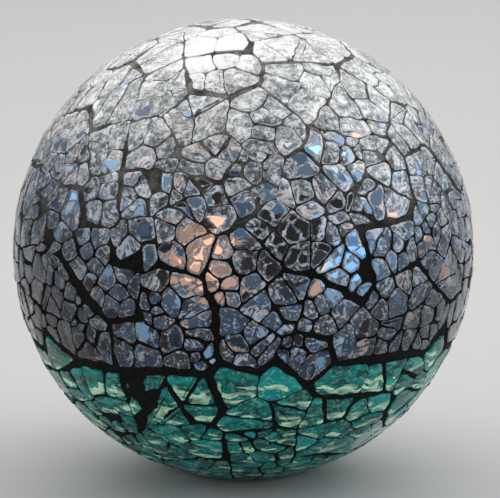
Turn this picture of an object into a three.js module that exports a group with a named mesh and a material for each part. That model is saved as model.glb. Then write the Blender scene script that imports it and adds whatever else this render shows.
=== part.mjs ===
// A decorative ball covered in shattered mirror glass and shattered green glass.
// The glass lies in shards, pressed into pockets of a black grout ball, with grout showing between them.
// Millimetres, +Z up. The ball rests on a small bare flat of grout, centred on the origin.
import * as THREE from "three";
import { ConvexHull } from "three/addons/math/ConvexHull.js";

// Radii of the layers, from the outside inwards.
const glassRadius = 50;
const groutRadius = 49.4;
const glassThickness = 2.4;
const beddingGap = 0.3; // clear space between a shard and the sides of its pocket
const floorGap = 0.45; // clear space between a shard and the floor of its pocket
const unevenness = 0.35; // most that a corner of a shard lies below the glass radius

// The foot: a flat of bare grout, inside a ring of grout that no shard covers.
const flatRadius = 9;
const bareFootAngle = 15; // degrees from the bottom of the ball
const footRingSeeds = 12;
const footRingTurn = 7; // degrees

// Islands of glass: the small plates that the shards are cracked into.
const islandSpacing = 9.6;
const islandCount = 284;
const greenFlattening = 1.35; // green islands are wider than they are high by about this much
const candidatesPerIsland = 9; // fewer candidates give more uneven islands
const patternSeed = 20; // another number gives another pattern of islands
const shortestSide = 2.3; // shorter sides of an island are closed up
const narrowestGap = 0.9;
const widestGap = 2.3;
const zoneGap = 2; // grout line between the two colours of glass
const cornerReach = 1.6; // most that a sharp corner draws back, as a multiple of half the gap
const tipReach = 1.1; // where a closing gap gets its grout, as a multiple of the bedding gap

// Shards: each is a few neighbouring islands that still touch.
const silverShardCount = 41;
const greenShardCount = 18;
const extraContactShare = 0.3; // how many of the other sides inside a shard touch too

// The line where silver glass meets green glass, as a latitude that changes with longitude.
const colourLine = {
  latitude: -21.5,
  tongue: { longitude: 12, change: -5.5, spread: 9 },
  rise: { longitude: -9, change: 4.5, spread: 8 },
  wave: { count: 3, change: 1.4 },
  seedSpacing: 10.4,
  seedDistance: 4.7,
  distanceVaries: 0.2,
  stagger: 1.6,
};

// Large unbroken plates, as latitude and longitude in degrees. Longitude 0 faces -Y and grows towards +X.
const plates = [
  { latitude: 31, longitude: -56, spacing: 13 },
  { latitude: 26, longitude: -36, spacing: 11 },
  { latitude: 44, longitude: 20, spacing: 13 },
  { latitude: 43, longitude: -26, spacing: 12 },
  { latitude: 64, longitude: -14, spacing: 13 },
  { latitude: 22, longitude: 52, spacing: 12 },
  { latitude: -32, longitude: -22, spacing: 12 },
  { latitude: 36, longitude: 128, spacing: 13 },
  { latitude: 12, longitude: 168, spacing: 12 },
  { latitude: -40, longitude: 150, spacing: 12 },
];

const looks = {
  grout: { color: 0x121213, roughness: 0.92, metalness: 0 },
  silver: { color: 0x98a4b0, roughness: 0.16, metalness: 0.9 },
  green: { color: 0x1c6f62, roughness: 0.14, metalness: 0.1 },
};

const degree = Math.PI / 180;
const glassUnderside = glassRadius - glassThickness;
const floorRadius = glassUnderside - floorGap;
const centreHeight = Math.sqrt(groutRadius ** 2 - flatRadius ** 2);

// Repeatable random numbers from 0 to 1.
function makeRandom(seed) {
  let state = seed;
  return () => {
    state = (state + 0x6d2b79f5) | 0;
    let mixed = Math.imul(state ^ (state >>> 15), 1 | state);
    mixed = (mixed + Math.imul(mixed ^ (mixed >>> 7), 61 | mixed)) ^ mixed;
    return ((mixed ^ (mixed >>> 14)) >>> 0) / 4294967296;
  };
}

const random = makeRandom(patternSeed);

// Unit vector at a latitude and longitude in degrees.
function direction(latitude, longitude) {
  const level = Math.cos(latitude * degree);
  return new THREE.Vector3(
    level * Math.sin(longitude * degree),
    -level * Math.cos(longitude * degree),
    Math.sin(latitude * degree),
  );
}

function latitudeOf(point) {
  return Math.asin(THREE.MathUtils.clamp(point.z, -1, 1)) / degree;
}

function longitudeOf(point) {
  return Math.atan2(point.x, -point.y) / degree;
}

// Latitude of the line between the colours at a longitude.
function colourLineLatitude(longitude) {
  const { latitude, tongue, rise, wave } = colourLine;
  const bump = ({ longitude: middle, change, spread }) =>
    change * Math.exp(-(((longitude - middle) / spread) ** 2));
  const ripple = wave.change * Math.sin(wave.count * longitude * degree);
  return latitude + bump(tongue) + bump(rise) + ripple;
}

function isGreen(point) {
  return latitudeOf(point) < colourLineLatitude(longitudeOf(point));
}

// One seed point in the middle of each island, and first the one of the bare foot.
function placeSeeds() {
  const seeds = [{ point: direction(-90, 0), spacing: islandSpacing }];
  const add = (point, spacing) => seeds.push({ point, spacing });
  for (let i = 0; i < footRingSeeds; i++) {
    add(direction(-90 + 2 * bareFootAngle, (i * 360) / footRingSeeds + footRingTurn), islandSpacing);
  }
  const { seedSpacing, seedDistance, distanceVaries, stagger } = colourLine;
  const around = 2 * Math.PI * glassRadius * Math.cos(colourLine.latitude * degree);
  const pairs = Math.round(around / seedSpacing);
  const perMillimetre = 1 / (glassRadius * degree);
  for (let i = 0; i < pairs; i++) {
    for (const side of [-1, 1]) {
      const longitude = (i * 360) / pairs + side * stagger * random() * perMillimetre;
      const away = side * seedDistance * (1 + distanceVaries * random()) * perMillimetre;
      add(direction(colourLineLatitude(longitude) + away, longitude), islandSpacing);
    }
  }
  for (const plate of plates) add(direction(plate.latitude, plate.longitude), plate.spacing);
  while (seeds.length < islandCount) {
    const candidates = Array.from({ length: candidatesPerIsland }, () => randomDirection());
    const room = candidates.map((point) => roomAround(point, seeds));
    add(candidates[room.indexOf(Math.max(...room))], islandSpacing);
  }
  return seeds.map((seed) => seed.point);
}

// A direction above the ring of seeds round the foot, with every part of the sphere as likely.
function randomDirection() {
  const lowest = Math.sin((2 * bareFootAngle - 90) * degree);
  return direction(Math.asin(lowest + (1 - lowest) * random()) / degree, 360 * random());
}

// Distance from a point to the nearest seed, as a share of the spacing that the two need.
function roomAround(point, seeds) {
  const flattening = isGreen(point) ? greenFlattening : 1;
  return Math.min(
    ...seeds.map((seed) => {
      const apart = seed.point.clone().sub(point).multiplyScalar(glassRadius);
      apart.z *= flattening;
      return apart.length() / ((seed.spacing + islandSpacing) / 2);
    }),
  );
}

// Splits the sphere into one cell round each seed. Each face of the seeds' hull gives one corner,
// and corners that lie too close together become one.
function divideSphere(seeds) {
  const hull = new ConvexHull().setFromPoints(seeds);
  const faces = hull.faces.map((face) => {
    const members = [];
    let edge = face.edge;
    do {
      members.push(seeds.indexOf(edge.head().point));
      edge = edge.next;
    } while (edge !== face.edge);
    return { members, corner: face.normal.clone().normalize() };
  });
  const { groupOf, corners } = mergeClose(faces.map((face) => face.corner));
  const outlines = seeds.map((seed, index) => {
    const { east, north } = tangentAxes(seed);
    const bearing = ({ corner }) => Math.atan2(corner.dot(north), corner.dot(east));
    const around = faces.filter(({ members }) => members.includes(index));
    around.sort((a, b) => bearing(a) - bearing(b));
    const outline = around.map((face) => groupOf[faces.indexOf(face)]);
    return outline.filter((corner, i) => corner !== outline[(i + 1) % outline.length]);
  });
  return { outlines, corners };
}

// Joins points nearer than the shortest side: the group of each point, and the middle of each group.
function mergeClose(points) {
  let groupOf = points.map((point, i) => i);
  points.forEach((a, i) => {
    points.slice(0, i).forEach((b, j) => {
      if (a.distanceTo(b) * glassRadius > shortestSide) return;
      const [from, to] = [groupOf[i], groupOf[j]];
      groupOf = groupOf.map((group) => (group === from ? to : group));
    });
  });
  const corners = points.map(() => new THREE.Vector3());
  points.forEach((point, i) => corners[groupOf[i]].add(point));
  corners.forEach((corner) => corner.normalize());
  return { groupOf, corners };
}

// Two level directions at a point of the sphere, so that east x north points outwards.
function tangentAxes(point) {
  const helper = Math.abs(point.z) < 0.9 ? new THREE.Vector3(0, 0, 1) : new THREE.Vector3(1, 0, 0);
  const east = helper.cross(point).normalize();
  const north = point.clone().cross(east);
  return { east, north };
}

// Sides between cells, found by their directed name "from>to".
function linkCells(cells) {
  const owner = new Map();
  cells.outlines.forEach((corners, cell) => {
    corners.forEach((corner, i) => {
      owner.set(corner + ">" + corners[(i + 1) % corners.length], cell);
    });
  });
  return owner;
}

// Gathers the islands of one colour into shards of even size, each grown from a far-off start.
function growShards(members, count, neighbours, seeds) {
  const starts = [members[0]];
  while (starts.length < count) {
    const distance = (cell) => Math.min(...starts.map((s) => seeds[s].distanceTo(seeds[cell])));
    starts.push(members.reduce((best, cell) => (distance(cell) > distance(best) ? cell : best)));
  }
  const shards = starts.map((start) => ({ cells: [start], contacts: [] }));
  const free = new Set(members.filter((cell) => !starts.includes(cell)));
  while (free.size) {
    const options = shards
      .map((shard) => ({ shard, next: nearestFree(shard, free, neighbours, seeds) }))
      .filter((option) => option.next);
    options.sort((a, b) => a.shard.cells.length - b.shard.cells.length);
    const { shard, next } = options[0];
    shard.cells.push(next.cell);
    shard.contacts.push([next.from, next.cell]);
    free.delete(next.cell);
  }
  return shards;
}

function nearestFree(shard, free, neighbours, seeds) {
  let best = null;
  for (const from of shard.cells) {
    for (const cell of neighbours[from]) {
      if (!free.has(cell)) continue;
      const distance = seeds[shard.cells[0]].distanceTo(seeds[cell]);
      if (!best || distance < best.distance) best = { from, cell, distance };
    }
  }
  return best;
}

// The sides where two islands of a shard touch; all the others are gaps filled with grout.
function findContacts(shards, neighbours, cells, owner) {
  const contacts = new Set();
  const touch = (a, b) => {
    contacts.add(a + "|" + b);
    contacts.add(b + "|" + a);
  };
  for (const shard of shards) {
    for (const [a, b] of shard.contacts) touch(a, b);
    for (const a of shard.cells) {
      for (const b of neighbours[a]) {
        const spare = a < b && shard.cells.includes(b) && !contacts.has(a + "|" + b);
        if (spare && random() < extraContactShare) touch(a, b);
      }
    }
  }
  // A gap that would be closed at both ends has no width, so its islands touch.
  let changed = true;
  while (changed) {
    changed = false;
    for (const [side, a] of owner) {
      const [from, to] = side.split(">").map(Number);
      const b = owner.get(to + ">" + from);
      if (contacts.has(a + "|" + b)) continue;
      const closed = (corner) => gapsAt(corner, owner, cells, contacts).length < 2;
      if (closed(from) && closed(to)) {
        touch(a, b);
        changed = true;
      }
    }
  }
  return contacts;
}

// Sides that leave a corner and are gaps, as the corners at their other ends.
function gapsAt(corner, owner, cells, contacts) {
  return turnAbout(corner, owner, cells)
    .filter(({ cell, next }) => !contacts.has(cell + "|" + owner.get(next + ">" + corner)))
    .map(({ next }) => next);
}

// Cells round a corner, anticlockwise, each with the corners before and after this one in its outline.
function turnAbout(corner, owner, cells) {
  const start = cells.outlines.findIndex((corners) => corners.includes(corner));
  const turn = [];
  let cell = start;
  do {
    const corners = cells.outlines[cell];
    const i = corners.indexOf(corner);
    const before = corners[(i + corners.length - 1) % corners.length];
    turn.push({ cell, before, next: corners[(i + 1) % corners.length] });
    cell = owner.get(corner + ">" + before);
  } while (cell !== start);
  return turn;
}

// Half the width of the grout at each corner.
function chooseHalfWidths(cells, zoneOf, owner) {
  return cells.corners.map((corner, index) => {
    if (!cells.outlines.some((corners) => corners.includes(index))) return 0;
    const zones = new Set(turnAbout(index, owner, cells).map(({ cell }) => zoneOf[cell]));
    const share = random() ** 2;
    const width = narrowestGap + (widestGap - narrowestGap) * share;
    return (zones.size > 1 ? Math.max(width, zoneGap) : width) / 2;
  });
}

// Where the outlines of the cells turn, once the grout between them has its width. Cells that touch
// round a corner share one point there; less is how much narrower the grout is than its full width.
function outlinePoints(model, less) {
  const { cells, owner, contacts, halfWidths } = model;
  const pointOf = new Map();
  const rings = new Map();
  cells.corners.forEach((corner, index) => {
    if (!cells.outlines.some((corners) => corners.includes(index))) return;
    const turn = turnAbout(index, owner, cells);
    const isGap = ({ cell, next }) => !contacts.has(cell + "|" + owner.get(next + ">" + index));
    const firstGap = turn.findIndex(isGap);
    const gaps = turn.filter(isGap).length;
    if (gaps < 2) {
      const whole = { name: "c" + index, at: corner };
      turn.forEach(({ cell }) => pointOf.set(cell + "@" + index, whole));
      rings.set(index, []);
      return;
    }
    const ordered = [...turn.slice(firstGap), ...turn.slice(0, firstGap)];
    const { east, north } = tangentAxes(corner);
    const bearing = (other) =>
      Math.atan2(cells.corners[other].dot(north), cells.corners[other].dot(east));
    const ring = [];
    ordered.forEach((step, i) => {
      if (!isGap(step)) return;
      const run = [step];
      let j = i + 1;
      while (j < ordered.length && !isGap(ordered[j])) run.push(ordered[j++]);
      const first = bearing(step.next);
      const turned = bearing(run[run.length - 1].before) - first;
      const sweep = (turned + 4 * Math.PI) % (2 * Math.PI);
      const width = halfWidths[index] - less;
      const reach = width * Math.min(1 / Math.sin(sweep / 2), cornerReach);
      const middle = first + sweep / 2;
      const at = corner
        .clone()
        .multiplyScalar(glassRadius)
        .addScaledVector(east, reach * Math.cos(middle))
        .addScaledVector(north, reach * Math.sin(middle))
        .normalize();
      const point = { name: "c" + index + "r" + i, at };
      run.forEach(({ cell }) => pointOf.set(cell + "@" + index, point));
      ring.push(point);
    });
    rings.set(index, ring);
  });
  return { pointOf, rings };
}

// The outline of one cell as points, anticlockwise from outside. In a pocket, the grout in a gap that
// closes to nothing starts where the gap is wide enough to leave the bedding gap on both sides.
function cellOutline(model, points, cell, less) {
  const { cells, owner, contacts } = model;
  const corners = cells.outlines[cell];
  return corners.flatMap((corner, i) => {
    const next = corners[(i + 1) % corners.length];
    const across = owner.get(next + ">" + corner);
    const here = points.pointOf.get(cell + "@" + corner);
    if (!less || contacts.has(cell + "|" + across)) return [here];
    return [here, ...gapTips(model, points, corner, next, less)];
  });
}

// Extra points along a gap that is closed at one of its ends.
function gapTips(model, points, from, to, less) {
  const { cells, halfWidths } = model;
  const tip = (closed, open) => {
    const along = (tipReach * less) / halfWidths[open];
    const at = cells.corners[closed].clone().lerp(cells.corners[open], along).normalize();
    return { name: "t" + closed + "-" + open, at };
  };
  if (!points.rings.get(from).length) return [tip(from, to)];
  if (!points.rings.get(to).length) return [tip(to, from)];
  return [];
}

// Collects triangles by named points, so that faces that meet share their points.
class Skin {
  constructor() {
    this.positions = [];
    this.indices = [];
    this.known = new Map();
  }

  point(name, at, radius) {
    if (!this.known.has(name)) {
      this.known.set(name, this.positions.length / 3);
      this.positions.push(at.x * radius, at.y * radius, at.z * radius + centreHeight);
    }
    return this.known.get(name);
  }

  // A face with its points anticlockwise from outside.
  face(points) {
    for (let i = 1; i + 1 < points.length; i++) {
      this.indices.push(points[0], points[i], points[i + 1]);
    }
  }

  // A shallow dome or dish: a rim, anticlockwise from outside, joined to a middle point.
  fan(rim, middle) {
    rim.forEach((point, i) => this.face([point, rim[(i + 1) % rim.length], middle]));
  }

  geometry() {
    const geometry = new THREE.BufferGeometry();
    geometry.setAttribute("position", new THREE.Float32BufferAttribute(this.positions, 3));
    geometry.setIndex(this.indices);
    const flat = geometry.toNonIndexed();
    flat.computeVertexNormals();
    return flat;
  }
}

// Sides of an outline that no other outline of the same shard shares.
function openSides(outlines) {
  const sides = outlines.flatMap((outline) =>
    outline.map((point, i) => [point, outline[(i + 1) % outline.length]]),
  );
  const names = new Set(sides.map(([a, b]) => a.name + ">" + b.name));
  return sides.filter(([a, b]) => !names.has(b.name + ">" + a.name));
}

// One shard: a domed face on each island, radial sides and a plain underside.
function buildShard(model, shard) {
  const skin = new Skin();
  const points = model.glassPoints;
  const outlines = shard.cells.map((cell) => cellOutline(model, points, cell, 0));
  const top = (point) => skin.point("top" + point.name, point.at, glassRadius - model.dip(point));
  const under = (point) => skin.point("under" + point.name, point.at, glassUnderside);
  outlines.forEach((outline, i) => {
    const cell = shard.cells[i];
    const middle = skin.point("middle" + cell, model.seeds[cell], glassRadius);
    skin.fan(outline.map(top), middle);
    const base = skin.point("base" + cell, model.seeds[cell], glassUnderside);
    skin.fan([...outline].reverse().map(under), base);
  });
  for (const [a, b] of openSides(outlines)) {
    skin.face([under(a), under(b), top(b), top(a)]);
  }
  return skin.geometry();
}

// The grout ball: pockets for the shards, the ribs of grout between them, and the flat foot.
function buildGrout(model) {
  const skin = new Skin();
  const { cells, owner, contacts } = model;
  const points = model.pocketPoints;
  const face = (point) => skin.point("face" + point.name, point.at, groutRadius);
  const floor = (point) => skin.point("floor" + point.name, point.at, floorRadius);
  for (const shard of model.shards) {
    const outlines = shard.cells.map((cell) => cellOutline(model, points, cell, beddingGap));
    outlines.forEach((outline, i) => {
      const cell = shard.cells[i];
      skin.fan(outline.map(floor), skin.point("bed" + cell, model.seeds[cell], floorRadius));
    });
    for (const [a, b] of openSides(outlines)) {
      skin.face([face(a), face(b), floor(b), floor(a)]);
    }
  }
  for (const [side, left] of owner) {
    const [from, to] = side.split(">").map(Number);
    const right = owner.get(to + ">" + from);
    if (from > to || contacts.has(left + "|" + right)) continue;
    const tips = gapTips(model, points, from, to, beddingGap);
    const ends = (corner) =>
      points.rings.get(corner).length
        ? [points.pointOf.get(left + "@" + corner), points.pointOf.get(right + "@" + corner)]
        : [tips[0]];
    const [startLeft, startRight = startLeft] = ends(from);
    const [endLeft, endRight = endLeft] = ends(to);
    const rib = [startRight, endRight, endLeft, startLeft];
    skin.face(rib.filter((point, i) => point !== rib[(i + 1) % rib.length]).map(face));
  }
  for (const ring of points.rings.values()) {
    if (ring.length > 2) skin.face(ring.map(face));
  }
  buildFoot(skin, cellOutline(model, points, 0, beddingGap));
  return skin.geometry();
}

// The bare bottom of the grout: a band that slopes in to the flat the ball rests on.
function buildFoot(skin, outline) {
  const rim = outline.map((point) => skin.point("face" + point.name, point.at, groutRadius));
  const flat = outline.map((point) => {
    const level = new THREE.Vector3(point.at.x, point.at.y, 0).setLength(flatRadius);
    level.z = -centreHeight;
    return skin.point("flat" + point.name, level, 1);
  });
  rim.forEach((corner, i) => {
    const j = (i + 1) % rim.length;
    skin.face([corner, rim[j], flat[j], flat[i]]);
  });
  skin.face(flat);
}

function makeModel() {
  const seeds = placeSeeds();
  const cells = divideSphere(seeds);
  const owner = linkCells(cells);
  const neighbours = cells.outlines.map((corners) =>
    corners.map((corner, i) => owner.get(corners[(i + 1) % corners.length] + ">" + corner)),
  );
  const zoneOf = seeds.map((seed, cell) => (cell === 0 ? "foot" : isGreen(seed) ? "green" : "silver"));
  const inZone = (zone) => zoneOf.map((name, cell) => cell).filter((cell) => zoneOf[cell] === zone);
  const grow = (zone, count) => growShards(inZone(zone), count, neighbours, seeds);
  const silver = grow("silver", silverShardCount);
  const green = grow("green", greenShardCount);
  const shards = [...silver, ...green];
  const contacts = findContacts(shards, neighbours, cells, owner);
  const halfWidths = chooseHalfWidths(cells, zoneOf, owner);
  const model = { seeds, cells, owner, contacts, halfWidths, shards, silver, green };
  model.glassPoints = outlinePoints(model, 0);
  model.pocketPoints = outlinePoints(model, beddingGap);
  const dips = new Map();
  model.dip = ({ name }) => {
    if (!dips.has(name)) dips.set(name, unevenness * random());
    return dips.get(name);
  };
  return model;
}

function makeMesh(name, geometry, look) {
  const mesh = new THREE.Mesh(geometry, new THREE.MeshStandardMaterial(look));
  mesh.name = name;
  return mesh;
}

const model = makeModel();
const ball = new THREE.Group();
ball.add(makeMesh("grout_ball", buildGrout(model), looks.grout));
for (const colour of ["silver", "green"]) {
  const shards = new THREE.Group();
  model[colour].forEach((shard, i) => {
    const name = colour + "_shard_" + String(i + 1).padStart(2, "0");
    shards.add(makeMesh(name, buildShard(model, shard), looks[colour]));
  });
  ball.add(shards);
}

export default ball;
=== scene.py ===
import math
import random

import bmesh
import bpy
from mathutils import Euler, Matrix, Quaternion, Vector, noise


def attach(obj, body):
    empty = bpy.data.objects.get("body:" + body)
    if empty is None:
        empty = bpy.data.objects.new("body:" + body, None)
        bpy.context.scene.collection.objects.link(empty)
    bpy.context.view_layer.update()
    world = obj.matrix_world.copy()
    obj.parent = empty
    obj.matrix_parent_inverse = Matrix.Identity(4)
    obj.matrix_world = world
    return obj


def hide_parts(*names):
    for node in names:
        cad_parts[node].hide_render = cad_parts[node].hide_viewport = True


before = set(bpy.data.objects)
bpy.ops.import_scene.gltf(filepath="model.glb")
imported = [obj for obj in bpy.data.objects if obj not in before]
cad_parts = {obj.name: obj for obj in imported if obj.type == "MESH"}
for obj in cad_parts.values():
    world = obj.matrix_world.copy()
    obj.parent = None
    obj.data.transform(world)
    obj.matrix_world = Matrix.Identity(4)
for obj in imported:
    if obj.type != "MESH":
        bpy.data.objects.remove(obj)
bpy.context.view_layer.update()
mm = 0.001
tiny = 0.001 * mm  # less than this apart counts as the same place

ball = {
    "glassRadius": 50 * mm,
    "groutRadius": 49.4 * mm,
    "footRadius": 9 * mm,
}
ballCentre = Vector((0, 0, math.sqrt(ball["groutRadius"] ** 2 - ball["footRadius"] ** 2)))
print("frame loaded:", len(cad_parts), "nodes")


def directionAt(latitude, longitude):  # degrees; longitude 0 faces the camera and grows to its right
    lat, lon = math.radians(latitude), math.radians(longitude)
    return Vector((math.cos(lat) * math.sin(lon), -math.cos(lat) * math.cos(lon), math.sin(lat)))


def colourOf(node):  # silver or green
    return node.split("_")[0]


def pieceFrom(made, name, material):  # the shown object that a bmesh has become
    mesh = bpy.data.meshes.new(name)
    made.to_mesh(mesh)
    made.free()
    mesh.materials.append(material)
    piece = bpy.data.objects.new(name, mesh)
    bpy.context.collection.objects.link(piece)
    return piece


# The crumbs of glass

noise.seed_set(5)  # otherwise noise_vector differs from run to run

crackPlan = {
    "skin": 1 * mm,  # faces of a solid that lie deeper than this are hidden
    "area": 15 * mm * mm,  # of a usual crumb
    "unevenness": (0.6, 1.4),  # of the number of crumbs in a plate
    "upperArea": 30 * mm * mm,  # near the top, where fewer cracks opened
    "upperCracks": 0.55,  # how wide those are there, as a share
    "bandArea": 34 * mm * mm,  # of green crumbs along the silver ones
    "bandCracks": 1.9,  # how wide the cracks are there
    "bandBottom": -35,  # degrees of latitude that the band reaches down to
    "samples": 90,  # points that a plate's seeds are settled with
    "settling": 2,  # more rounds give more even crumbs
    "widerThanHigh": {"silver": 1, "green": 1.5},
    "hairline": {"silver": (0.17 * mm, 0.38 * mm), "green": (0.2 * mm, 0.46 * mm)},
    "closed": (0.03 * mm, 0.09 * mm),  # cracks of the plates that held together
    "channel": (0.4 * mm, 0.9 * mm),
    "channelShare": 0.14,  # of the cracks inside a plate, how many opened up
    "wedge": 6,  # degrees that an open crack widens by
    "overhang": {"silver": (0.2 * mm, 0.56 * mm), "green": (0.1 * mm, 0.42 * mm)},  # over the shard's solid
    "overhangDrift": 11 * mm,  # length over which the overhang changes
    "overhangShare": (1.6, 0.55),  # how much it changes, and around what share of its range
    "sharpest": 0.6,  # sine of half the sharpest corner that is spread in full
    "missing": [  # latitude and longitude of crumbs that fell out
        (15.3, -2.5), (3.2, 27), (-6.8, 0.4), (-1.5, -14.5), (5.7, -50.7), (45.6, -47), (1.8, -23.8),
    ],
    "missingReach": 0.037,  # from those places, as a share of the radius
    "missingShare": 0.03,  # of the other crumbs
    "missingArea": 13 * mm * mm,  # larger ones of those stay in
    "whole": [  # latitude and longitude of plates that hardly cracked
        (31, -56), (26, -36), (44, 20), (43, -26), (64, -14), (-32, -22), (36, 128), (12, 168), (-40, 150),
    ],
    "wholeReach": 0.09,  # as a share of the radius
}

crumbShape = {
    "smallest": 1.3 * mm * mm,  # smaller leavings are lost
    "slimmest": 0.032,  # least area for the square of the outline's length
    "side": 0.85 * mm,  # length of the straight pieces of an outline
    "mostCuts": 15,
    "rounding": 0.42,
    "waviness": (0.5 * mm, 2.3 * mm),  # how far a crack wanders, and over what length
    "raggedness": 0.08 * mm,
    "depth": 1.3 * mm,
    "chamfer": 0.06 * mm,
    "rise": 0.09 * mm,
    "rims": [(6 * mm * mm, 0.22 * mm), (14 * mm * mm, 0.38 * mm), (1, 0.55 * mm)],  # up to an area: width
    "rimShift": 0.5,  # how far the flat middle strays, as a share of the rim's width
    "domed": 20 * mm * mm,  # larger crumbs follow the ball with a raised middle
    "domeShare": 0.62,  # how wide that middle is, as a share of the crumb
    "tilt": 1.8,  # degrees
    "tiltReach": 2.4 * mm,  # longer crumbs lean less
    "lift": 0.28 * mm,  # how far one small crumb may lie below another
    "spare": 0.025 * mm,  # that every crumb stays below the ball's outline
}


def highestOf(face):  # the corner farthest from the ball's centre
    return max(face.verts, key=lambda v: v.co.length)


def platesOf(node):  # the flat plates of a shard, with the ball's centre as the origin
    shard = bmesh.new()
    shard.from_mesh(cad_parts[node].data)
    bmesh.ops.remove_doubles(shard, verts=shard.verts, dist=2 * tiny)
    bmesh.ops.translate(shard, vec=-ballCentre, verts=shard.verts)
    lowest = ball["glassRadius"] - crackPlan["skin"]
    hidden = [f for f in shard.faces if min(v.co.length for v in f.verts) < lowest]
    bmesh.ops.delete(shard, geom=hidden, context="FACES")
    middleOf = {f: highestOf(f) for f in shard.faces}
    touching = shard.verts.layers.float.new("touching")
    for vert in shard.verts:
        vert[touching] = len({middleOf[f] for f in vert.link_faces}) > 1
    seams = [e for e in shard.edges if len({middleOf[f] for f in e.link_faces}) > 1]
    bmesh.ops.split_edges(shard, edges=seams)
    middles = {highestOf(f) for f in shard.faces}
    bmesh.ops.dissolve_verts(shard, verts=[v for v in shard.verts if v in middles])
    for plate in shard.faces:
        spreadPlate(plate, touching, colourOf(node))
    return shard


def spreadPlate(plate, touching, colour):  # overhanging its solid, but with a crack where two touch
    narrowest, widest = crackPlan["overhang"][colour]
    swing, usual = crackPlan["overhangShare"]
    corners = plate.verts[:]
    moves = []
    for i, corner in enumerate(corners):
        before, after = corners[i - 1].co, corners[(i + 1) % len(corners)].co
        outward = (after - before).cross(corner.co).normalized()
        halfTurn = (before - corner.co).angle(after - corner.co) / 2
        drift = min(max(noise.noise(corner.co / crackPlan["overhangDrift"]) * swing + usual, 0), 1)
        step = narrowest + (widest - narrowest) * drift
        if corner[touching]:
            step = -sum(crackPlan["hairline"][colour]) / 4
        moves.append(outward * step / max(math.sin(halfTurn), crackPlan["sharpest"]))
    for corner, move in zip(corners, moves):
        corner.co += move


def upperness(direction):  # 0 up to a latitude of 19 degrees, 1 above 50 degrees
    return min(max(direction.z * 2.2 - 0.7, 0), 1)


def inBand(colour, direction):  # whether a plate is one of the green ones along the silver
    return colour == "green" and direction.z > math.sin(math.radians(crackPlan["bandBottom"]))


def heldTogether(plate):  # whether a plate is one of those that hardly cracked
    middle = plate.calc_center_median().normalized()
    away = [(middle - directionAt(*place)).length for place in crackPlan["whole"]]
    return min(away) < crackPlan["wholeReach"]


def seedsIn(plate, colour, rng):  # the middles of a plate's crumbs
    stretch = crackPlan["widerThanHigh"][colour]
    corners = [v.co.copy() for v in plate.verts]
    middle = plate.calc_center_median()
    area = crackPlan["area"] + (crackPlan["upperArea"] - crackPlan["area"]) * upperness(middle.normalized())
    if inBand(colour, middle.normalized()):
        area = crackPlan["bandArea"]
    count = max(1, round(plate.calc_area() / area * rng.uniform(*crackPlan["unevenness"])))
    samples = []
    for i in range(crackPlan["samples"]):
        a, b = rng.choice(list(zip(corners, corners[1:] + corners[:1])))
        reach, share = math.sqrt(rng.random()), rng.random()
        samples.append(middle + ((a - middle) * (1 - share) + (b - middle) * share) * reach)
    places = rng.sample(samples, count)
    for turn in range(crackPlan["settling"]):
        groups = [[] for place in places]
        for point in samples:
            apart = [Vector((d.x, d.y, d.z * stretch)).length for d in (point - place for place in places)]
            groups[apart.index(min(apart))].append(point)
        places = [
            sum(group, Vector()) / len(group) if group else place for group, place in zip(groups, places)]
    return places


def cracksBetween(plate, count, colour, rng):  # the width of each crack, and the angle that it opens by
    cracks = {}
    held = heldTogether(plate)
    direction = plate.calc_center_median().normalized()
    opening = 1 - (1 - crackPlan["upperCracks"]) * upperness(direction)
    if inBand(colour, direction):
        opening = crackPlan["bandCracks"]
    for i in range(count):
        for j in range(i):
            width = rng.uniform(*(crackPlan["closed"] if held else crackPlan["hairline"][colour]))
            wedge = 0
            if rng.random() < crackPlan["channelShare"] and not held:
                width = rng.uniform(*crackPlan["channel"])
                wedge = math.radians(crackPlan["wedge"]) * rng.uniform(-1, 1)
            width *= opening
            cracks[i, j], cracks[j, i] = (width, wedge), (width, -wedge)
    return cracks


def crackPlate(plateMesh, places, colour, rng):  # one flat outline for each crumb of a plate
    cracks = cracksBetween(plateMesh.faces[0], len(places), colour, rng)
    stretch = crackPlan["widerThanHigh"][colour]
    for i, place in enumerate(places):
        crumb = plateMesh.copy()
        for j, other in enumerate(places):
            if i == j or not crumb.faces:
                continue
            width, wedge = cracks[i, j]
            normal = other - place
            normal.z *= stretch ** 2
            normal = Quaternion(place.normalized(), wedge / 2) @ normal.normalized()
            bmesh.ops.bisect_plane(
                crumb, geom=crumb.verts[:] + crumb.edges[:] + crumb.faces[:],
                plane_co=(place + other) / 2 - normal * width / 2, plane_no=normal,
                dist=tiny, clear_outer=True)
        yield place, crumb


def isSound(outline):  # neither too small nor too slim to hold together
    area = outline.calc_area()
    slim = area < crumbShape["slimmest"] * outline.calc_perimeter() ** 2
    return area > crumbShape["smallest"] and not slim


def randomVector(rng):
    return Vector([rng.uniform(-1, 1) for axis in range(3)])


def shapeOutline(crumb, rng):  # worn corners and ragged sides
    bmesh.ops.dissolve_degenerate(crumb, dist=crumbShape["side"] / 4, edges=crumb.edges[:])
    for cuts in range(1, crumbShape["mostCuts"] + 1):
        sides = [e for e in crumb.edges if round(e.calc_length() / crumbShape["side"]) == cuts + 1]
        bmesh.ops.bisect_edges(crumb, edges=sides, cuts=cuts)
    bmesh.ops.smooth_vert(
        crumb, verts=crumb.verts, factor=crumbShape["rounding"],
        use_axis_x=True, use_axis_y=True, use_axis_z=True)
    wander, length = crumbShape["waviness"]
    for vert in crumb.verts:
        vert.co += noise.noise_vector(vert.co / length) * wander
        vert.co += randomVector(rng) * crumbShape["raggedness"]


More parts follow.
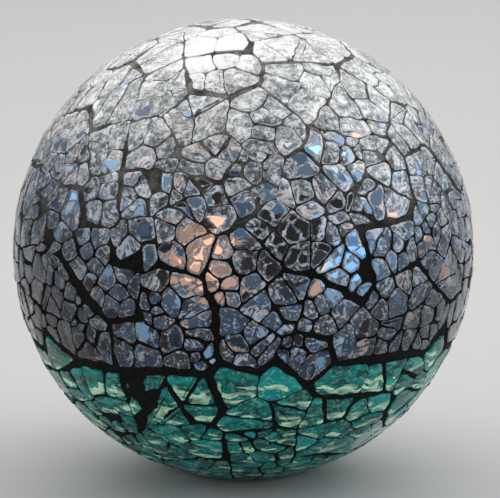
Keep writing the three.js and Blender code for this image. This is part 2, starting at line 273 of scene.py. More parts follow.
def layCrumb(crumb, rng):  # flat, leaning and sunk a little
    middle = sum((v.co for v in crumb.verts), Vector()) / len(crumb.verts)
    reach = max((v.co - middle).length for v in crumb.verts)
    looseness = min(1, crumbShape["tiltReach"] / reach)
    tilt = math.radians(crumbShape["tilt"]) * looseness
    lean = Euler([tilt * rng.gauss(0, 1) for axis in range(3)]).to_matrix()
    normal = lean @ middle.normalized()
    for vert in crumb.verts:
        vert.co -= normal * normal.dot(vert.co - middle)
    highest = max(v.co.length for v in crumb.verts)
    room = ball["glassRadius"] - crumbShape["chamfer"] - crumbShape["rise"] - crumbShape["spare"] - highest
    sunk = crumbShape["lift"] * looseness * rng.random()
    bmesh.ops.translate(crumb, vec=normal * (room - sunk), verts=crumb.verts)


def crumbLayers(shard):  # what each crumb's points carry for the materials
    layers = shard.verts.layers
    return {
        "crumb": layers.float_color.get("crumb") or layers.float_color.new("crumb"),
        "across": layers.float_vector.get("across") or layers.float_vector.new("across"),
        "rim": layers.float.get("rim") or layers.float.new("rim"),
        "low": layers.float.get("low") or layers.float.new("low"),
        "sunk": layers.float.get("sunk") or layers.float.new("sunk"),
    }


def isMissing(place, crumb, rng):
    byChance = rng.random() < crackPlan["missingShare"]
    small = sum(f.calc_area() for f in crumb.faces) < crackPlan["missingArea"]
    away = [(place.normalized() - directionAt(*spot)).length for spot in crackPlan["missing"]]
    return (byChance and small) or min(away) < crackPlan["missingReach"]


def markCrumb(crumb, place, rng):
    own = crumbLayers(crumb)
    across = place.cross(Vector([rng.gauss(0, 1) for axis in range(3)])).normalized()
    chance = (rng.random(), rng.random(), rng.random(), 1)
    top, bottom = max(v.co.z for v in crumb.verts), min(v.co.z for v in crumb.verts)
    for vert in crumb.verts:
        vert[own["crumb"]] = chance
        vert[own["across"]] = across
        vert[own["low"]] = (top - vert.co.z) / (top - bottom)
        vert[own["rim"]] = 1


def addTo(shard, crumb):
    mesh = bpy.data.meshes.new("crumb")
    crumb.to_mesh(mesh)
    shard.from_mesh(mesh)
    bpy.data.meshes.remove(mesh)


def fracture(node):  # a shard's top as separate flat crumbs
    rng = random.Random(node)
    plates = platesOf(node)
    shard = bmesh.new()
    crumbLayers(shard)
    for index in range(len(plates.faces)):
        plateMesh = plates.copy()
        others = [f for f in plateMesh.faces if f.index != index]
        bmesh.ops.delete(plateMesh, geom=others, context="FACES")
        plateMesh.faces.ensure_lookup_table()
        places = seedsIn(plateMesh.faces[0], colourOf(node), rng)
        for place, crumb in crackPlate(plateMesh, places, colourOf(node), rng):
            missing = isMissing(place, crumb, rng)
            unsound = [f for f in crumb.faces if not isSound(f)]
            bmesh.ops.delete(crumb, geom=unsound, context="FACES")
            if crumb.faces and not missing:
                shapeOutline(crumb, rng)
                layCrumb(crumb, rng)
                markCrumb(crumb, place, rng)
                addTo(shard, crumb)
            crumb.free()
        plateMesh.free()
    plates.free()
    return shard


def thickenCrumbs(shard, rng):  # flat crumbs become solid glass with a chamfer and a sloping rim
    layers = crumbLayers(shard)
    shard.normal_update()
    tops = shard.faces[:]
    areas = {f: f.calc_area() for f in tops}
    bmesh.ops.solidify(shard, geom=tops, thickness=crumbShape["depth"])
    topVerts = {v for f in tops for v in f.verts}
    for vert in shard.verts:
        vert[layers["sunk"]] = 0 if vert in topVerts else 1
    chamfer = crumbShape["chamfer"]
    bmesh.ops.inset_individual(shard, faces=tops, thickness=chamfer, depth=chamfer, use_even_offset=True)
    least = 0
    for most, width in crumbShape["rims"]:
        group = [f for f in tops if least <= areas[f] < most]
        least = most
        bmesh.ops.inset_individual(
            shard, faces=group, thickness=width, depth=crumbShape["rise"], use_even_offset=True)
        for face in group:
            shift = randomVector(rng) * width * crumbShape["rimShift"]
            shift -= shift.project(face.normal)
            for vert in face.verts:
                vert.co += shift
                vert[layers["rim"]] = 0
    large = [f for f in tops if areas[f] > crumbShape["domed"]]
    bmesh.ops.inset_individual(shard, faces=large, thickness=10 * tiny)
    share = crumbShape["domeShare"]
    for face in large:
        rise = areas[face] / math.pi * (1 - share ** 2) / (2 * ball["glassRadius"])
        middle, normal = face.calc_center_median(), face.normal.copy()
        for vert in face.verts:
            vert.co = middle + (vert.co - middle) * share + normal * rise


def buildShard(node, material):
    shard = fracture(node)
    thickenCrumbs(shard, random.Random(node + " rims"))
    bmesh.ops.translate(shard, vec=ballCentre, verts=shard.verts)
    piece = pieceFrom(shard, node + "_crumbs", material)
    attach(piece, "root")
    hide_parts(node)


# The grout ball

groutShape = {
    "subdivisions": 7,
    "lumps": 0.16 * mm,
    "lumpSize": 2.2 * mm,
    "grain": 0.07 * mm,
    "grainSize": 0.7 * mm,
    "highest": 0.02 * mm,  # above the grout's radius
}


def buildGrout(material):
    grout = bmesh.new()
    bmesh.ops.create_icosphere(
        grout, subdivisions=groutShape["subdivisions"], radius=ball["groutRadius"])
    for vert in grout.verts:
        lump = noise.noise(vert.co / groutShape["lumpSize"]) * groutShape["lumps"]
        grain = noise.noise(vert.co / groutShape["grainSize"]) * groutShape["grain"]
        vert.co *= 1 + min(lump + grain, groutShape["highest"]) / ball["groutRadius"]
    bmesh.ops.translate(grout, vec=ballCentre, verts=grout.verts)
    bmesh.ops.bisect_plane(
        grout, geom=grout.verts[:] + grout.edges[:] + grout.faces[:],
        plane_co=(0, 0, 0), plane_no=(0, 0, -1), dist=tiny, clear_outer=True)
    bmesh.ops.holes_fill(grout, edges=[e for e in grout.edges if e.is_boundary])
    piece = pieceFrom(grout, "sanded_grout", material)
    piece.data.shade_smooth()
    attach(piece, "root")
    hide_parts("grout_ball")


# The materials

def plug(tree, value, socket):  # a link where the value is a socket, and a plain value otherwise
    if isinstance(value, bpy.types.NodeSocket):
        tree.links.new(value, socket)
    else:
        socket.default_value = value


def addNode(tree, kind, inputs=None, **settings):
    node = tree.nodes.new("ShaderNode" + kind)
    for name, value in settings.items():
        setattr(node, name, value)
    for key, value in (inputs or {}).items():
        plug(tree, value, node.inputs[key])
    return node


def newGroup(name, inputs, outputs):  # an empty node group, with the ends that its nodes are linked to
    group = bpy.data.node_groups.new(name, "ShaderNodeTree")
    for label, kind in inputs.items():
        group.interface.new_socket(label, in_out="INPUT", socket_type="NodeSocket" + kind)
    for label, kind in outputs.items():
        group.interface.new_socket(label, in_out="OUTPUT", socket_type="NodeSocket" + kind)
    return group, group.nodes.new("NodeGroupInput").outputs, group.nodes.new("NodeGroupOutput").inputs


def placed(tree, name, **values):  # a node group in a material, with its values or links
    node = addNode(tree, "Group", node_tree=bpy.data.node_groups[name])
    for key, value in values.items():
        plug(tree, value, node.inputs[key.capitalize()])
    return node.outputs


def maths(tree, operation, *values):
    return addNode(tree, "Math", dict(enumerate(values)), operation=operation).outputs[0]


def joined(tree, operation, values):
    result = values[0]
    for value in values[1:]:
        result = maths(tree, operation, result, value)
    return result


def product(tree, *values):
    return joined(tree, "MULTIPLY", values)


def total(tree, *values):
    return joined(tree, "ADD", values)


def largest(tree, *values):
    return joined(tree, "MAXIMUM", values)


def exceeds(tree, value, limit):  # 1 where it does
    return maths(tree, "GREATER_THAN", value, limit)


def vectors(tree, operation, *values):
    keys = (0, "Scale" if operation == "SCALE" else 1)
    node = addNode(tree, "VectorMath", dict(zip(keys, values)), operation=operation)
    return node.outputs["Value" if operation in ("DOT_PRODUCT", "DISTANCE") else "Vector"]


def channels(tree, colour):
    return addNode(tree, "SeparateColor", {0: colour}).outputs


def ranged(tree, value, fromLow, fromHigh, toLow=0, toHigh=1, smooth=False):
    node = addNode(tree, "MapRange", {
        "Value": value, "From Min": fromLow, "From Max": fromHigh, "To Min": toLow, "To Max": toHigh})
    node.interpolation_type = "SMOOTHSTEP" if smooth else "LINEAR"
    return node.outputs["Result"]


def between(tree, share, low, high):
    return ranged(tree, share, 0, 1, low, high)


def mixed(tree, share, first, second, blend="MIX"):
    node = addNode(tree, "Mix", {0: share}, data_type="RGBA", blend_type=blend)
    for colour, socket in ((first, node.inputs[6]), (second, node.inputs[7])):
        plug(tree, colour if isinstance(colour, bpy.types.NodeSocket) else (*colour, 1), socket)
    return node.outputs[2]


def tinted(tree, colour, tint):
    return mixed(tree, 1.0, colour, tint, "MULTIPLY")


def ramp(tree, value, stops, interpolation="LINEAR"):
    node = addNode(tree, "ValToRGB", {"Fac": value})
    node.color_ramp.interpolation = interpolation
    marks = node.color_ramp.elements
    while len(marks) < len(stops):
        marks.new(1)
    for mark, (place, colour) in zip(marks, stops):
        mark.position, mark.color = place, (*colour, 1)
    return node.outputs["Color"]


def nearTo(tree, place, spot, reach):  # 1 at a spot of the ball, 0 from its reach on
    middle = (ballCentre + directionAt(*spot) * ball["glassRadius"]) / mm
    return ranged(tree, vectors(tree, "DISTANCE", place, middle), 0, reach, 1, 0)


def heightShare(tree, coordinates):  # 0 at the foot of the ball, 1 at its top
    height = addNode(tree, "SeparateXYZ", {0: coordinates}).outputs["Z"]
    return ranged(tree, height, 0, 2 * ball["glassRadius"])


def buildPlaceGroup():  # the place on the ball in millimetres, and apart for each crumb
    tree, source, result = newGroup("crumb place", {}, {
        "Place": "Vector", "Own": "Vector", "Chance": "Color", "Rim": "Float", "Low": "Float",
        "Sunk": "Float", "Across": "Vector", "Height": "Float"})
    coordinates = addNode(tree, "TexCoord").outputs["Object"]
    place = vectors(tree, "SCALE", coordinates, 1 / mm)
    read = {name: addNode(tree, "Attribute", attribute_name=name).outputs for name in (
        "crumb", "rim", "low", "sunk", "across")}
    chance = read["crumb"]["Color"]
    tree.links.new(place, result["Place"])
    tree.links.new(vectors(tree, "ADD", place, vectors(tree, "SCALE", chance, 90.0)), result["Own"])
    tree.links.new(chance, result["Chance"])
    for name in ("rim", "low", "sunk"):
        tree.links.new(read[name]["Fac"], result[name.capitalize()])
    tree.links.new(read["across"]["Vector"], result["Across"])
    tree.links.new(heightShare(tree, coordinates), result["Height"])


def buildFractureGroup():  # flat panes, each with a tint and a tilt, and the lines between them
    tree, source, result = newGroup("fracture", {
        "Place": "Vector", "Fineness": "Float", "Warp": "Float", "Line": "Float", "Tilt": "Float"}, {
        "Tint": "Color", "Lines": "Float", "Normal": "Vector"})
    wander = addNode(tree, "TexNoise", {"Vector": source["Place"], "Scale": 0.5, "Detail": 1.0})
    centred = vectors(tree, "SUBTRACT", wander.outputs["Color"], (0.5, 0.5, 0.5))
    place = vectors(tree, "ADD", source["Place"], vectors(tree, "SCALE", centred, source["Warp"]))
    cells = {"Vector": place, "Scale": source["Fineness"]}
    tint = addNode(tree, "TexVoronoi", cells).outputs["Color"]
    tree.links.new(tint, result["Tint"])
    edge = addNode(tree, "TexVoronoi", cells, feature="DISTANCE_TO_EDGE").outputs["Distance"]
    near = maths(tree, "DIVIDE", edge, source["Line"])
    tree.links.new(ranged(tree, near, 0.4, 1, 1, 0, smooth=True), result["Lines"])
    tilt = vectors(tree, "SUBTRACT", tint, (0.5, 0.5, 0.5))
    normal = addNode(tree, "NewGeometry").outputs["Normal"]
    tilted = vectors(tree, "ADD", normal, vectors(tree, "SCALE", tilt, source["Tilt"]))
    tree.links.new(vectors(tree, "NORMALIZE", tilted), result["Normal"])


def buildStreakGroup():  # fine bent ribs that run across one direction of a crumb
    tree, source, result = newGroup("streaks", {
        "Place": "Vector", "Across": "Vector", "Fineness": "Float", "Stretch": "Float"}, {
        "Streak": "Float"})
    wander = addNode(tree, "TexNoise", {"Vector": source["Place"], "Scale": 0.3, "Detail": 0.0})
    bent = vectors(tree, "ADD", source["Place"], vectors(tree, "SCALE", wander.outputs["Color"], 5.0))
    along = vectors(tree, "SCALE", source["Place"], source["Stretch"])
    share = vectors(tree, "DOT_PRODUCT", bent, source["Across"])
    across = vectors(tree, "SCALE", source["Across"], product(tree, share, source["Fineness"]))
    stretched = vectors(tree, "ADD", along, across)
    grain = addNode(tree, "TexNoise", {"Vector": stretched, "Scale": 1.0, "Detail": 2.0, "Roughness": 0.6})
    tree.links.new(ranged(tree, grain.outputs["Fac"], 0.42, 0.6, smooth=True), result["Streak"])


def buildFrostGroup():  # the sugary look of glass cracked right through, with painted glints on some of its chips
    tree, source, result = newGroup("frost", {"Place": "Vector", "Size": "Float"}, {
        "Cloud": "Float", "Chip": "Color", "PaintedGlint": "Float"})
    place = vectors(tree, "SCALE", source["Place"], maths(tree, "DIVIDE", 1.0, source["Size"]))
    broad = addNode(tree, "TexNoise", {"Vector": place, "Scale": 0.6, "Detail": 5.0, "Roughness": 0.72})
    chip = addNode(tree, "TexVoronoi", {"Vector": place, "Scale": 2.2}).outputs["Color"]
    tone = channels(tree, chip)
    cloud = product(tree, ranged(tree, broad.outputs["Fac"], 0.34, 0.66), 0.72)
    tree.links.new(total(tree, cloud, product(tree, tone[1], 0.28)), result["Cloud"])
    tree.links.new(chip, result["Chip"])
    # Painted glints: the brightest chips, fewer where the cloud is thin.
    rarity = ranged(tree, broad.outputs["Fac"], 0.4, 0.62, 0.97, 0.7)
    tree.links.new(exceeds(tree, tone[0], rarity), result["PaintedGlint"])


def newMaterial(name, surface):
    material = bpy.data.materials.new(name)
    material.use_nodes = True
    shader = material.node_tree.nodes["Principled BSDF"].inputs
    for key, value in surface.items():
        shader[key].default_value = value
    return material, material.node_tree, shader


def crumbParts(tree, finish):  # what both kinds of glass are mixed from
    crumb = placed(tree, "crumb place")
    pane = placed(tree, "fracture", place=crumb["Own"], **finish["fracture"])
    frost = placed(tree, "frost", place=crumb["Own"], size=finish["frostSize"])
    return crumb, pane, frost, channels(tree, crumb["Chance"]), channels(tree, pane["Tint"])


def finishGlass(tree, shader, finish, colour, share, height, normal):
    tree.links.new(colour, shader["Base Color"])
    tree.links.new(between(tree, share, *finish["metallic"]), shader["Metallic"])
    tree.links.new(between(tree, share, *finish["roughness"]), shader["Roughness"])
    bump = addNode(tree, "Bump", {
        "Height": height, "Normal": normal, "Strength": finish["bump"], "Distance": 0.25 * mm})
    tree.links.new(bump.outputs["Normal"], shader["Normal"])


# Places on the ball are latitude and longitude, reaches are in millimetres, and heights go from 0 to 1.
# Four numbers are a range and what it turns into.

silverFinish = {
    "surface": {"Coat Weight": 0.55, "Coat Roughness": 0.04},
    "fracture": {"fineness": 0.34, "warp": 1.5, "line": 0.1, "tilt": 0.18},  # 0.34 panes in a millimetre
    "ribs": {"fineness": 1.6, "stretch": 0.35},
    "frostSize": 0.9,
    "upper": (0.55, 0.95),  # heights between which the glass turns sugary, which paints the light from above
    "low": (0.74, 0.36),  # heights between which it takes a painted blue reflection
    "paintedSideSheen": (38, 49),  # millimetres to the side between which it turns sugary again, as a painted sheen
    "panes": [  # mirror tints from dark to rare: partly the glass's own tint, partly painted reflections in dark brown, blues and peach
        (0.0, (0.08, 0.062, 0.055)), (0.17, (0.09, 0.13, 0.19)), (0.3, (0.23, 0.35, 0.5)),
        (0.48, (0.34, 0.5, 0.7)), (0.68, (0.42, 0.5, 0.6)), (0.8, (0.6, 0.66, 0.72)),
        (0.9, (0.47, 0.74, 0.98)), (0.965, (1.0, 0.63, 0.48)),
    ],
    "rarePanes": 0.9,  # where those begin that stay bright, as painted bright reflections
    "warmPanes": 0.96,  # where the painted warm reflections begin, which never turn blue
    "paintedReflections": [  # painted reflections: places of panes alike, their reach, and their place among the colours
        ((2, -7), 6.5, 0.99), ((6, 9), 7, 0.05), ((-1, 24), 5, 0.94), ((16, -60), 7, 0.4),
        ((2, 160), 6, 0.99),
    ],
    "paintedReflectionEdge": (1.5, 2.2),  # how far out a painted reflection thins, and how steeply
    "sugary": {"upper": 0.9, "paintedSideSheen": 0.3, "paintedReflections": 0.3, "crumbs": 0.06, "panes": 0.2},  # the chance of it
    "lineWear": (0.2, 0.6, 0.45, 1),
    "sideScale": 0.3,  # of the noise that wears one side of a crumb more than another
    "rimWear": (0.44, 0.54, 0.15, 0.95),
    "hardness": (0, 0.4, 1, 0),
    "ribbed": 0.42,  # panes above this have ribs
    "tone": {"cloud": (0.74, 0.95), "upper": (-0.08, 0.27), "ribs": (0.24, 0.5), "pane": (-0.1, 0.1),
             "crumb": (-0.08, 0.1)},  # how pale each of these makes sugary glass; the upper share is painted light from above
    "paintedTopHighlight": ((57, -14), 12, 0.7),  # a painted highlight: a place of nearly white crumbs, its reach, how much paler
    "sugar": [
        (0.06, (0.03, 0.032, 0.036)), (0.32, (0.18, 0.19, 0.2)), (0.58, (0.48, 0.485, 0.485)),
        (0.92, (1, 1, 0.985)),
    ],
    "paintedLowReflection": (0.66, 0.9, 1.2),
    "mirrorLowReflection": 0.7,  # how much of that tint the mirror takes
    "warmFrom": 0.84,  # ribs of panes above this carry a painted warm reflection
    "paintedWarmRibs": (1.0, 0.68, 0.56),
    "warmth": (0, 0.7, 0.9, 0),
    # painted glints: their colours, white near the top, and how many there are
    "paintedGlints": [(0.0, (0.95, 0.7, 0.6)), (0.14, (0.95, 0.97, 1.0)), (0.7, (0.5, 0.72, 0.98))],
    "upperGlint": (1, 1, 0.98),
    "upperGlints": (0, 0.35),
    "glintShare": (0, 0.6, 0.85, 0.5),
    # a painted highlight along part of each crumb's rim
    "edge": (0.8, 0.84, 0.86),
    "rimHighlightReach": (0.7, 0.9),
    "rimHighlightSide": (0.5, 0.56, 0, 0.6),
    "paintedShadeByHeight": [(0.27, 0.12), (0.4, 0.2), (0.52, 0.44), (0.66, 0.8), (0.78, 1)],  # painted shade: heights, and how light the colour stays there
    "keptBright": 0.6,
    "paintedShadeSpots": [((-13, -57), 38, 1.0), ((-18, 54), 34, 0.75)],  # places of painted shade on the mirror, their reach, how dark
    "paintedDarkness": (0.01, 0.01, 0.012),
    # painted shade: the dark of the crumbs' sides down in the cracks
    "sunk": (0.01, 0.01, 0.01),
    "metallic": (0.95, 0.35),  # of whole and of broken mirror
    "roughness": (0.07, 0.34),
    "bump": 0.4,
}


def choosePanes(tree, crumb, tint, finish):  # which colour a pane has, and whether a painted reflection settled it
    choice, settled = tint[0], 0.0
    spread, steepness = finish["paintedReflectionEdge"]
    for where, reach, kind in finish["paintedReflections"]:
        nearness = product(tree, nearTo(tree, crumb["Place"], where, reach * spread), steepness)
        inside = exceeds(tree, nearness, tint[2])
        outside = maths(tree, "SUBTRACT", 1.0, inside)
        settled = largest(tree, settled, inside)
        choice = total(tree, product(tree, choice, outside), product(tree, inside, kind))
    return choice, settled


def makeSilver():
    finish = silverFinish
    material, tree, shader = newMaterial("shattered mirror glass", finish["surface"])
    crumb, pane, frost, chance, tint = crumbParts(tree, finish)
    ribs = placed(tree, "streaks", place=crumb["Own"], across=crumb["Across"], **finish["ribs"])["Streak"]
    upper = ranged(tree, crumb["Height"], *finish["upper"])
    low = ranged(tree, crumb["Height"], *finish["low"])
    sideways = addNode(tree, "SeparateXYZ", {0: crumb["Place"]}).outputs["X"]
    paintedSideSheen = ranged(tree, maths(tree, "ABSOLUTE", sideways), *finish["paintedSideSheen"])
    choice, settled = choosePanes(tree, crumb, tint, finish)

    # Crumbs are sugary by chance, nearly all of them at the top and more at both sides, as painted light
    # from above and a painted sheen at the sides, and so are single panes of the others.
    sugary = finish["sugary"]
    likely = total(tree, product(tree, upper, sugary["upper"]), product(tree, paintedSideSheen, sugary["paintedSideSheen"]))
    likely = maths(tree, "SUBTRACT", likely, product(tree, settled, sugary["paintedReflections"]))
    byCrumb = exceeds(tree, total(tree, likely, sugary["crumbs"]), chance[1])
    byPane = exceeds(tree, total(tree, likely, sugary["panes"]), tint[1])
    lines = product(tree, pane["Lines"], ranged(tree, frost["Cloud"], *finish["lineWear"]))
    sides = addNode(tree, "TexNoise", {"Vector": crumb["Own"], "Scale": finish["sideScale"], "Detail": 0.0})
    side = sides.outputs["Fac"]
    rim = product(tree, crumb["Rim"], ranged(tree, side, *finish["rimWear"]))
    broken = largest(tree, byCrumb, byPane, lines, rim)

    # The lower the glass, the harder its contrasts.
    hard = ranged(tree, upper, *finish["hardness"])
    ribbed = product(tree, ribs, exceeds(tree, tint[2], finish["ribbed"]))
    part = finish["tone"]
    tone = total(
        tree, product(tree, frost["Cloud"], between(tree, hard, *part["cloud"])),
        between(tree, upper, *part["upper"]), product(tree, ribbed, between(tree, hard, *part["ribs"])),
        between(tree, tint[0], *part["pane"]), between(tree, chance[2], *part["crumb"]))
    # A painted highlight on the crumbs near the top.
    spot, reach, share = finish["paintedTopHighlight"]
    paintedHighlight = product(tree, nearTo(tree, crumb["Place"], spot, reach), share)
    pale = ramp(tree, total(tree, tone, paintedHighlight), finish["sugar"])
    # A painted blue reflection on the sugary glass, low on the ball.
    pale = mixed(tree, low, pale, tinted(tree, pale, finish["paintedLowReflection"]))
    # Painted warm reflections on the ribs of some panes, fading out near the top.
    warm = product(tree, exceeds(tree, tint[2], finish["warmFrom"]), ribs)
    warm = product(tree, warm, ranged(tree, upper, *finish["warmth"]))
    pale = mixed(tree, warm, pale, finish["paintedWarmRibs"])

    # The mirror's colour: its own tint with painted reflections.
    mirror = ramp(tree, choice, finish["panes"], "CONSTANT")
    # The mirror takes part of the painted blue reflection too, but not the painted warm reflections.
    cool = product(tree, low, finish["mirrorLowReflection"], maths(tree, "LESS_THAN", choice, finish["warmPanes"]))
    mirror = mixed(tree, cool, mirror, tinted(tree, mirror, finish["paintedLowReflection"]))
    colour = mixed(tree, broken, mirror, pale)
    # Painted glints on the sugary glass.
    paintedGlint = product(tree, frost["PaintedGlint"], ranged(tree, upper, *finish["glintShare"]))
    glint = ramp(tree, channels(tree, frost["Chip"])[2], finish["paintedGlints"], "CONSTANT")
    glint = mixed(tree, ranged(tree, upper, *finish["upperGlints"]), glint, finish["upperGlint"])
    colour = mixed(tree, product(tree, paintedGlint, broken), colour, glint)
    # A painted highlight: a pale line along part of each crumb's rim.
    edge = ranged(tree, crumb["Rim"], *finish["rimHighlightReach"])
    edge = product(tree, edge, ranged(tree, side, *finish["rimHighlightSide"]))
    colour = mixed(tree, edge, colour, finish["edge"])

    # Painted shade, and a painted darker reflection, low on the ball: glints, ribs and the palest panes
    # keep their brightness there, and the rest darkens.
    shade = ramp(tree, crumb["Height"], [(height, (level,) * 3) for height, level in finish["paintedShadeByHeight"]])
    rare = product(tree, exceeds(tree, choice, finish["rarePanes"]), maths(tree, "SUBTRACT", 1.0, broken))
    lit = largest(tree, product(tree, ribbed, broken), paintedGlint, rare)
    lit = product(tree, lit, finish["keptBright"])
    colour = tinted(tree, colour, mixed(tree, lit, shade, (1, 1, 1)))
    # Painted shade: the mirror darkens towards its lower left and lower right.
    for where, reach, share in finish["paintedShadeSpots"]:
        paintedDarkness = product(tree, nearTo(tree, crumb["Place"], where, reach), share)
        colour = mixed(tree, paintedDarkness, colour, finish["paintedDarkness"])
    # Painted shade in the cracks: the crumbs' sides darken to nearly black towards their undersides.
    colour = mixed(tree, crumb["Sunk"], colour, finish["sunk"])
    finishGlass(tree, shader, finish, colour, broken, product(tree, tone, broken), pane["Normal"])
    return material


greenFinish = {
    "surface": {"Coat Weight": 0.08, "Coat Roughness": 0.05, "Specular IOR Level": 0.2},
    "fracture": {"fineness": 0.34, "warp": 1.0, "line": 0.05, "tilt": 0.1},
    "frostSize": 1.0,
    "swing": (0.35, 1.8),  # how often the streaks bend, and by how many millimetres
    "flatness": (0.28, 0.28, 1.0),  # streaks in a millimetre each way
    "soft": (0.32, 0.68),
    "depth": {"soft": 0.5, "pane": 0.3, "cloud": 0.2},  # shares of each in the depth of the colour
    "glass": [
        (0.2, (0.001, 0.05, 0.05)), (0.48, (0.002, 0.14, 0.13)), (0.72, (0.006, 0.28, 0.25)),
        (1, (0.03, 0.48, 0.4)),
    ],
    "brightCrumbs": (0.95, 0.5),  # crumbs above this chance are brighter, and by how much
    "bright": (0.0, 0.42, 0.42),
    "pale": ((-47, 53), 7, (0.5, 0.62, 0.68)),  # a painted reflection: a place of pale glass, its reach and colour
    "paleReflectionEdge": (0.05, 0.3, 0, 0.8),
    # painted highlight: the colour of the pale streaks
    "paintedStreakHighlight": (0.68, 1.0, 0.7),
    "streaks": {"low": (0.2, 0.95, 0.05, 0.6), "edge": (0, 0.16), "soft": (0.36, 0.56, 0.25, 1),
                "cloud": (0.1, 0.6, 0.55, 1)},  # painted highlights: where they gather, and what breaks them up
    # painted glints in the green glass
    "paintedGlint": 0.16,
    # painted shade: the dark of the crumbs' sides down in the cracks
    "sunk": (0.004, 0.03, 0.025),
    "metallic": (0.1, 0.05),  # of plain glass and of streaks
    "roughness": (0.16, 0.3),
    "bump": 0.2,
    "cloudBump": 0.3,
}


def makeGreen():
    finish = greenFinish
    material, tree, shader = newMaterial("shattered green glass", finish["surface"])
    crumb, pane, frost, chance, tint = crumbParts(tree, finish)
    often, swing = finish["swing"]
    wander = addNode(tree, "TexNoise", {"Vector": crumb["Place"], "Scale": often, "Detail": 0.0})
    swung = vectors(tree, "ADD", crumb["Own"], vectors(tree, "SCALE", wander.outputs["Color"], swing))
    flat = vectors(tree, "MULTIPLY", swung, finish["flatness"])
    clouds = addNode(tree, "TexNoise", {"Vector": flat, "Scale": 0.7, "Detail": 2.0, "Distortion": 0.6})
    soft = clouds.outputs["Fac"]
    steps = addNode(tree, "TexVoronoi", {"Vector": flat, "Scale": 1.0}, distance="CHEBYCHEV")

    part = finish["depth"]
    depth = total(
        tree, product(tree, ranged(tree, soft, *finish["soft"]), part["soft"]),
        product(tree, tint[0], part["pane"]), product(tree, frost["Cloud"], part["cloud"]))
    glass = ramp(tree, depth, finish["glass"])
    limit, share = finish["brightCrumbs"]
    glass = mixed(tree, product(tree, exceeds(tree, chance[0], limit), share), glass, finish["bright"])
    spot, reach, pale = finish["pale"]
    paintedReflection = ranged(tree, nearTo(tree, crumb["Place"], spot, reach), *finish["paleReflectionEdge"])
    glass = mixed(tree, paintedReflection, glass, pale)

    # Painted highlights: pale streaks gather towards the lower side of a crumb, where light reflected
    # inside the glass shows.
    streaks = finish["streaks"]
    lowness = ranged(tree, crumb["Low"], *streaks["low"])
    lit = maths(tree, "SUBTRACT", lowness, channels(tree, steps.outputs["Color"])[0])
    lit = product(
        tree, ranged(tree, lit, *streaks["edge"]), ranged(tree, soft, *streaks["soft"]),
        ranged(tree, frost["Cloud"], *streaks["cloud"]))
    lit = largest(tree, lit, product(tree, frost["PaintedGlint"], finish["paintedGlint"]))
    colour = mixed(tree, lit, glass, finish["paintedStreakHighlight"])
    # Painted shade in the cracks: the crumbs' sides darken to nearly black towards their undersides.
    colour = mixed(tree, crumb["Sunk"], colour, finish["sunk"])
    height = total(tree, product(tree, frost["Cloud"], finish["cloudBump"]), lit)
    finishGlass(tree, shader, finish, colour, lit, height, pane["Normal"])
    return material


groutFinish = {
    "surface": {"Roughness": 0.9, "Specular IOR Level": 0.2},
    "grainSize": 0.28,  # millimetres
    "black": (0.0015, 0.0015, 0.002),
    "grain": (0.01, 0.0095, 0.009),
    "grains": (0.45, 1),
    # the pale top of the grout: dust, and painted light from above
    "dustAndTopLight": (0.56, 0.52, 0.46),
    "dustAndTopLightHeight": (0.52, 0.97, 0, 1.1),
    "dustAndTopLightCloud": (0.35, 0.6, 0.25, 1),
    "dustAndTopLightGrain": (0.35, 1),
    "bump": 0.7,
}


def makeGrout():
    finish = groutFinish
    material, tree, shader = newMaterial("sanded black grout", finish["surface"])
    coordinates = addNode(tree, "TexCoord").outputs["Object"]
    place = vectors(tree, "SCALE", coordinates, 1 / mm)
    grains = addNode(tree, "TexVoronoi", {"Vector": place, "Scale": 1 / finish["grainSize"]})
    tone = channels(tree, grains.outputs["Color"])
    cloud = addNode(tree, "TexNoise", {"Vector": place, "Scale": 0.35, "Detail": 3.0}).outputs["Fac"]
    # Pale dust and painted light from above: the grout turns paler towards the top, in patches.
    dustAndTopLightShare = product(
        tree, ranged(tree, heightShare(tree, coordinates), *finish["dustAndTopLightHeight"]),
        ranged(tree, cloud, *finish["dustAndTopLightCloud"]), between(tree, tone[1], *finish["dustAndTopLightGrain"]))
    colour = mixed(tree, ranged(tree, tone[0], *finish["grains"]), finish["black"], finish["grain"])
    tree.links.new(mixed(tree, dustAndTopLightShare, colour, finish["dustAndTopLight"]), shader["Base Color"])
    height = ranged(tree, grains.outputs["Distance"], 0, 0.7, 1, 0)
    bump = addNode(tree, "Bump", {"Height": height, "Strength": finish["bump"], "Distance": 0.12 * mm})
    tree.links.new(bump.outputs["Normal"], shader["Normal"])
    return material


buildPlaceGroup()
buildFractureGroup()
buildStreakGroup()
buildFrostGroup()
groutMaterial = makeGrout()
glassMaterials = {"silver": makeSilver(), "green": makeGreen()}
print("materials made")

buildGrout(groutMaterial)
for node in sorted(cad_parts):
    if node != "grout_ball":
        buildShard(node, glassMaterials[colourOf(node)])


# Floor, lights and camera

stage = {
    "paper": {"Base Color": (0.66, 0.645, 0.63, 1), "Roughness": 0.6},
    "floorSize": 3,
    "backRise": (0, 0.4, 2),  # from the floor's back edge
    "bend": 0.8,
    "bendSteps": 12,
    "roomColour": (0.38, 0.41, 0.45, 1),
    "roomLight": 0.8,
    "lamps": [  # name, place, size, watts, colour
        ("overhead", (0, 0.4, 0.95), 2, 13, (1, 0.975, 0.93)),
        ("left window", (-1.2, -0.3, 0.6), 1, 2.5, (0.88, 0.94, 1)),
        ("right window", (1.2, -0.1, 0.7), 1.2, 5.5, (0.9, 0.95, 1)),
        ("warm card", (-0.12, -0.5, 0.055), 0.22, 0.18, (1, 0.8, 0.66)),
        ("cool card", (0.42, -0.36, 0.07), 0.22, 0.18, (0.5, 0.75, 1)),
    ],
}

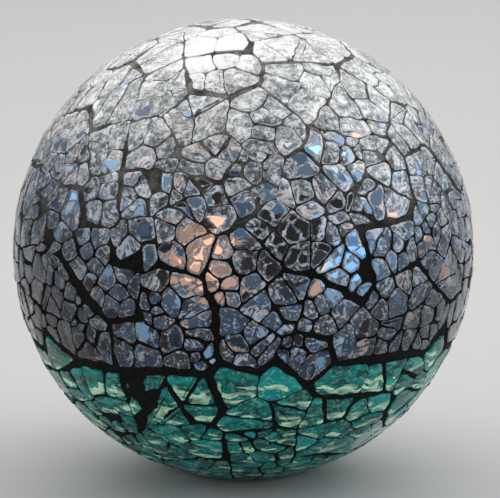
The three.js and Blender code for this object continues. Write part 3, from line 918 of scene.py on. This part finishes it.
view = {
    "distance": 300 * mm,
    "elevation": 5.5,  # degrees
    "lens": 98.6,
    "shift": 0.0134,
    "nearest": 0.01,
    "farthest": 20,
}


def buildFloor():  # with a back that bends upwards
    floor = bmesh.new()
    half = stage["floorSize"] / 2
    bmesh.ops.create_grid(floor, x_segments=1, y_segments=1, size=half)
    back = [e for e in floor.edges if all(v.co.y > half * 0.99 for v in e.verts)]
    raised = bmesh.ops.extrude_edge_only(floor, edges=back)["geom"]
    raised = [v for v in raised if isinstance(v, bmesh.types.BMVert)]
    bmesh.ops.translate(floor, vec=stage["backRise"], verts=raised)
    bmesh.ops.bevel(
        floor, geom=back, offset=stage["bend"], segments=stage["bendSteps"], profile=0.5,
        material=-1, affect="EDGES")
    piece = pieceFrom(floor, "floor", newMaterial("floor paper", stage["paper"])[0])
    piece.data.shade_smooth()


def addLight(name, place, size, power, colour):  # turned to the ball
    lamp = bpy.data.lights.new(name, "AREA")
    lamp.size, lamp.energy, lamp.color = size, power, colour
    light = bpy.data.objects.new(name, lamp)
    light.location = place
    light.rotation_euler = (ballCentre - Vector(place)).to_track_quat("-Z", "Y").to_euler()
    bpy.context.collection.objects.link(light)


def lightRoom():
    world = bpy.data.worlds.new("room")
    world.use_nodes = True
    background = world.node_tree.nodes["Background"].inputs
    background["Color"].default_value = stage["roomColour"]
    background["Strength"].default_value = stage["roomLight"]
    bpy.context.scene.world = world


def addCamera():
    lens = bpy.data.cameras.new("camera")
    lens.lens, lens.shift_x = view["lens"], view["shift"]
    lens.clip_start, lens.clip_end = view["nearest"], view["farthest"]
    camera = bpy.data.objects.new("camera", lens)
    away = directionAt(view["elevation"], 0)
    camera.location = ballCentre + away * view["distance"]
    camera.rotation_euler = (-away).to_track_quat("-Z", "Y").to_euler()
    bpy.context.collection.objects.link(camera)
    bpy.context.scene.camera = camera


buildFloor()
for lamp in stage["lamps"]:
    addLight(*lamp)
lightRoom()
addCamera()
bpy.context.scene.view_settings.view_transform = "Standard"
print("floor, lights and camera placed")
